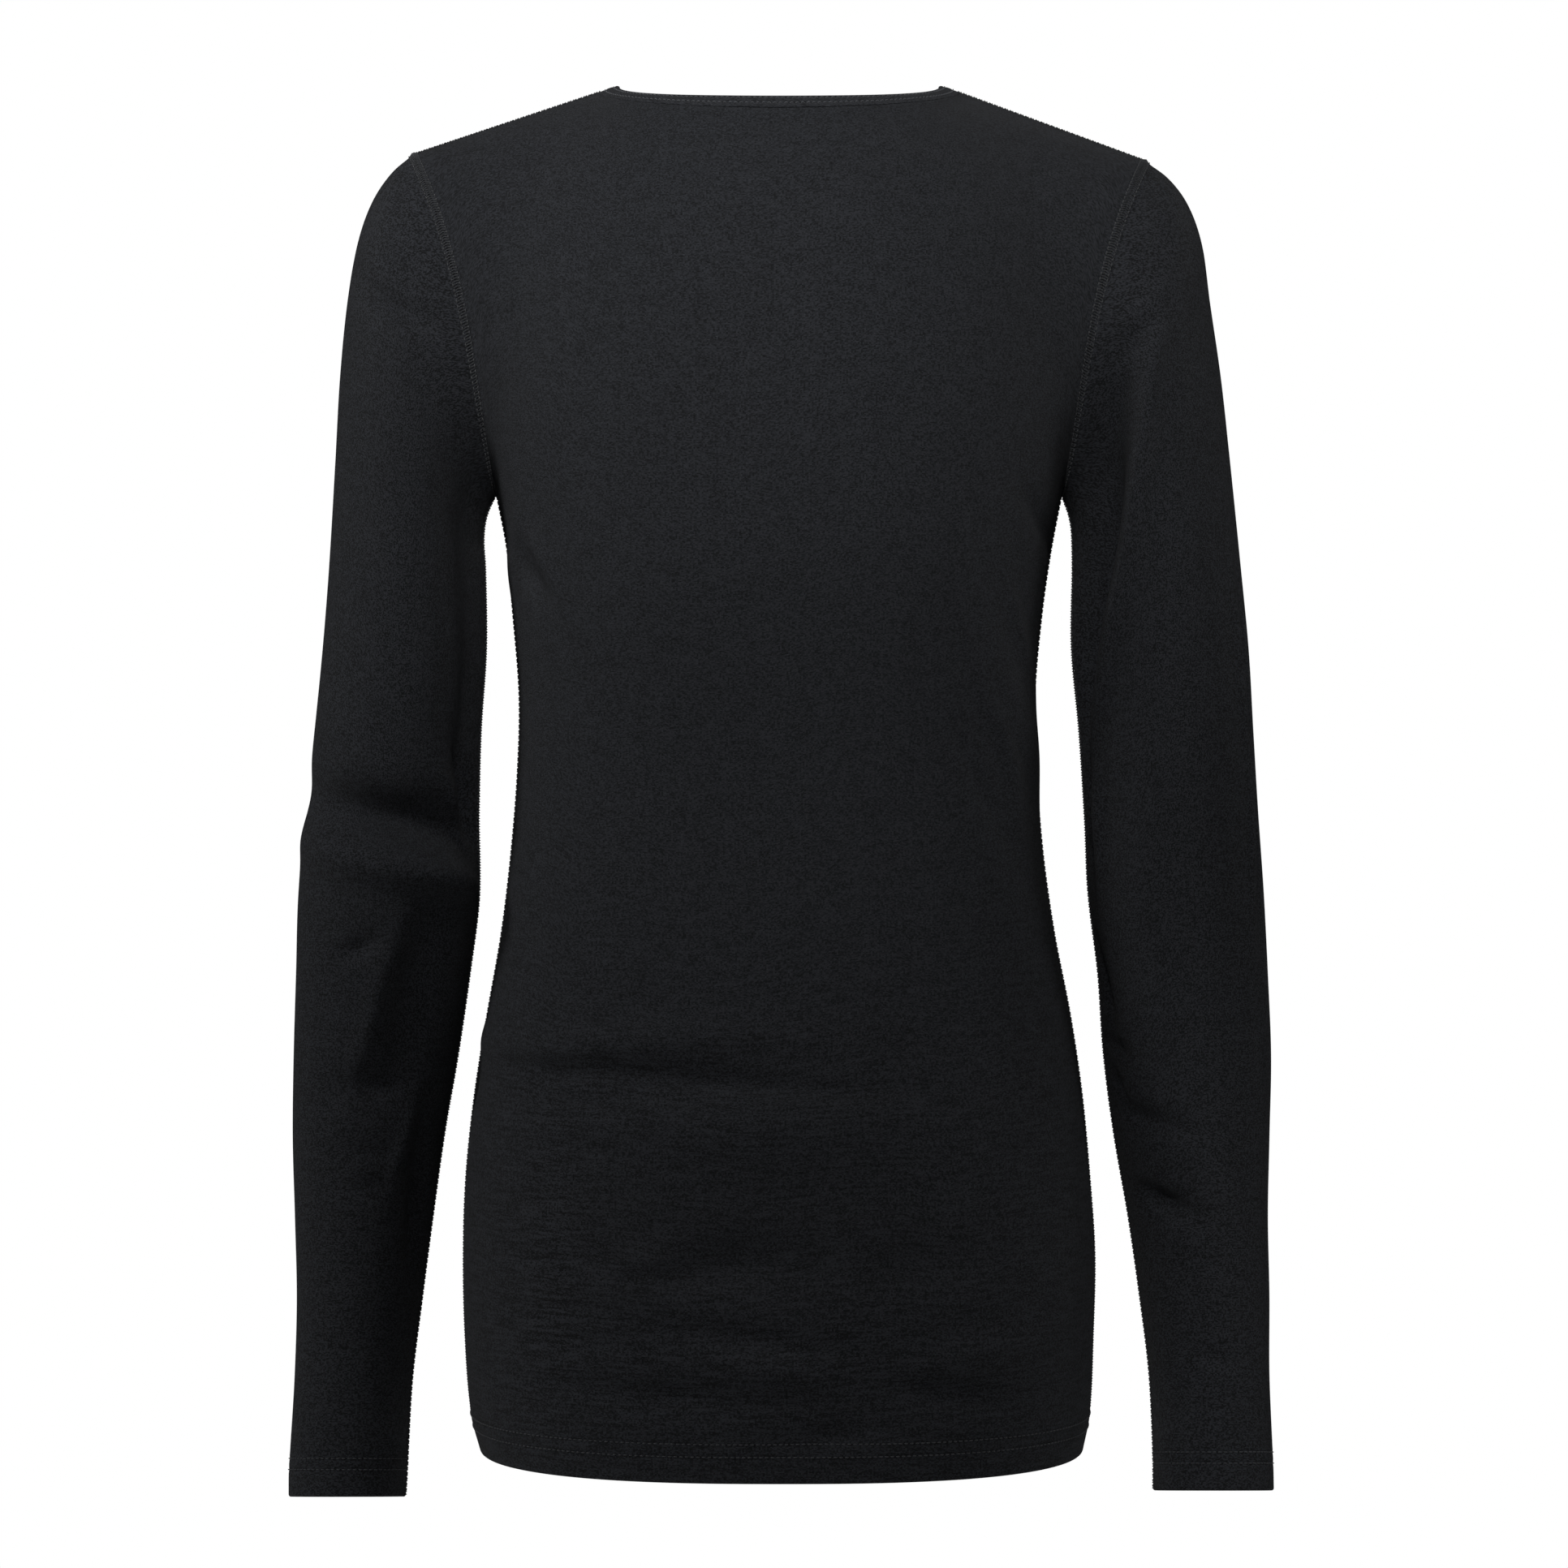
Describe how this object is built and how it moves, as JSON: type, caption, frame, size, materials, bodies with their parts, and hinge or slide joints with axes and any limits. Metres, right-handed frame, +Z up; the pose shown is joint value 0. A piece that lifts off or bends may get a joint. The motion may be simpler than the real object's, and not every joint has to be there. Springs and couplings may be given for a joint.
{
  "type": "base layer top",
  "caption": "Fitted long-sleeved base layer top in dark wool jersey, with a bound crew neck, set-in sleeves and a long body, filled out as if worn",
  "frame": {"origin": "Midway between the two highest points of the neck edge, level with them, where the top hangs on the wearer's shoulders", "axes": "+X to the wearer's right, +Y to the front of the top, +Z up"},
  "size_m": [0.4724, 0.2297, 0.6778],
  "materials": {
    "body_jersey": "fine wool single jersey, matt with a soft fuzz",
    "sleeve_jersey": "fine wool single jersey, matt with a soft fuzz",
    "binding_jersey": "the same jersey, folded to a narrow binding"
  },
  "bodies": {
    "root": {"back_panel": "body_jersey", "front_panel": "body_jersey", "sleeve_left": "sleeve_jersey", "sleeve_right": "sleeve_jersey", "neck_binding": "binding_jersey"}
  },
  "joints": []
}
